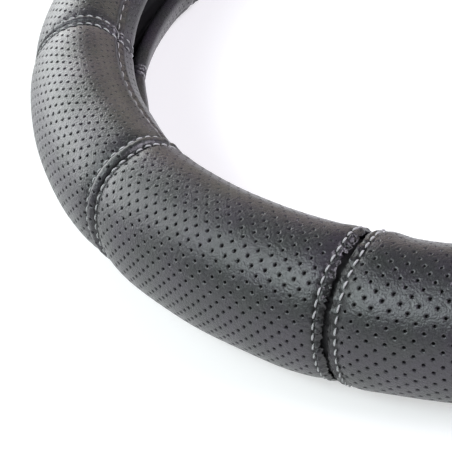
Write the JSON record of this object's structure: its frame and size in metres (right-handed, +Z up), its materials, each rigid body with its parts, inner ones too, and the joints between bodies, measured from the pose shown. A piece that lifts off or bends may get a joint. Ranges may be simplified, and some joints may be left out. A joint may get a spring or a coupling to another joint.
{
  "type": "steering wheel cover",
  "caption": "Slip-on steering wheel cover: a ring of perforated leather panels with paired top stitching, turned in over a C-shaped rubber liner that is open towards the centre.",
  "frame": {"origin": "on the surface that the ring lies on, at the ring's centre", "axes": "+Z up along the ring's axis; +X through one seam between panels"},
  "size_m": [0.3796, 0.3796, 0.0454],
  "materials": {
    "perforated_leather": "black leather with fine grain, perforated all over, satin",
    "liner_rubber": "black moulded rubber, matt",
    "stitch_thread": "light grey twisted polyester thread"
  },
  "bodies": {
    "root": {"inner_liner_ring": "liner_rubber", "hem_thread_upper": "stitch_thread", "hem_thread_lower": "stitch_thread", "leather_panel_01": "perforated_leather", "seam_thread_01_before": "stitch_thread", "seam_thread_01_after": "stitch_thread", "leather_panel_02": "perforated_leather", "seam_thread_02_before": "stitch_thread", "seam_thread_02_after": "stitch_thread", "leather_panel_03": "perforated_leather", "seam_thread_03_before": "stitch_thread", "seam_thread_03_after": "stitch_thread", "leather_panel_04": "perforated_leather", "seam_thread_04_before": "stitch_thread", "seam_thread_04_after": "stitch_thread", "leather_panel_05": "perforated_leather", "seam_thread_05_before": "stitch_thread", "seam_thread_05_after": "stitch_thread", "leather_panel_06": "perforated_leather", "seam_thread_06_before": "stitch_thread", "seam_thread_06_after": "stitch_thread", "leather_panel_07": "perforated_leather", "seam_thread_07_before": "stitch_thread", "seam_thread_07_after": "stitch_thread", "leather_panel_08": "perforated_leather", "seam_thread_08_before": "stitch_thread", "seam_thread_08_after": "stitch_thread", "leather_panel_09": "perforated_leather", "seam_thread_09_before": "stitch_thread", "seam_thread_09_after": "stitch_thread", "leather_panel_10": "perforated_leather", "seam_thread_10_before": "stitch_thread", "seam_thread_10_after": "stitch_thread", "leather_panel_11": "perforated_leather", "seam_thread_11_before": "stitch_thread", "seam_thread_11_after": "stitch_thread", "leather_panel_12": "perforated_leather", "seam_thread_12_before": "stitch_thread", "seam_thread_12_after": "stitch_thread"}
  },
  "joints": []
}
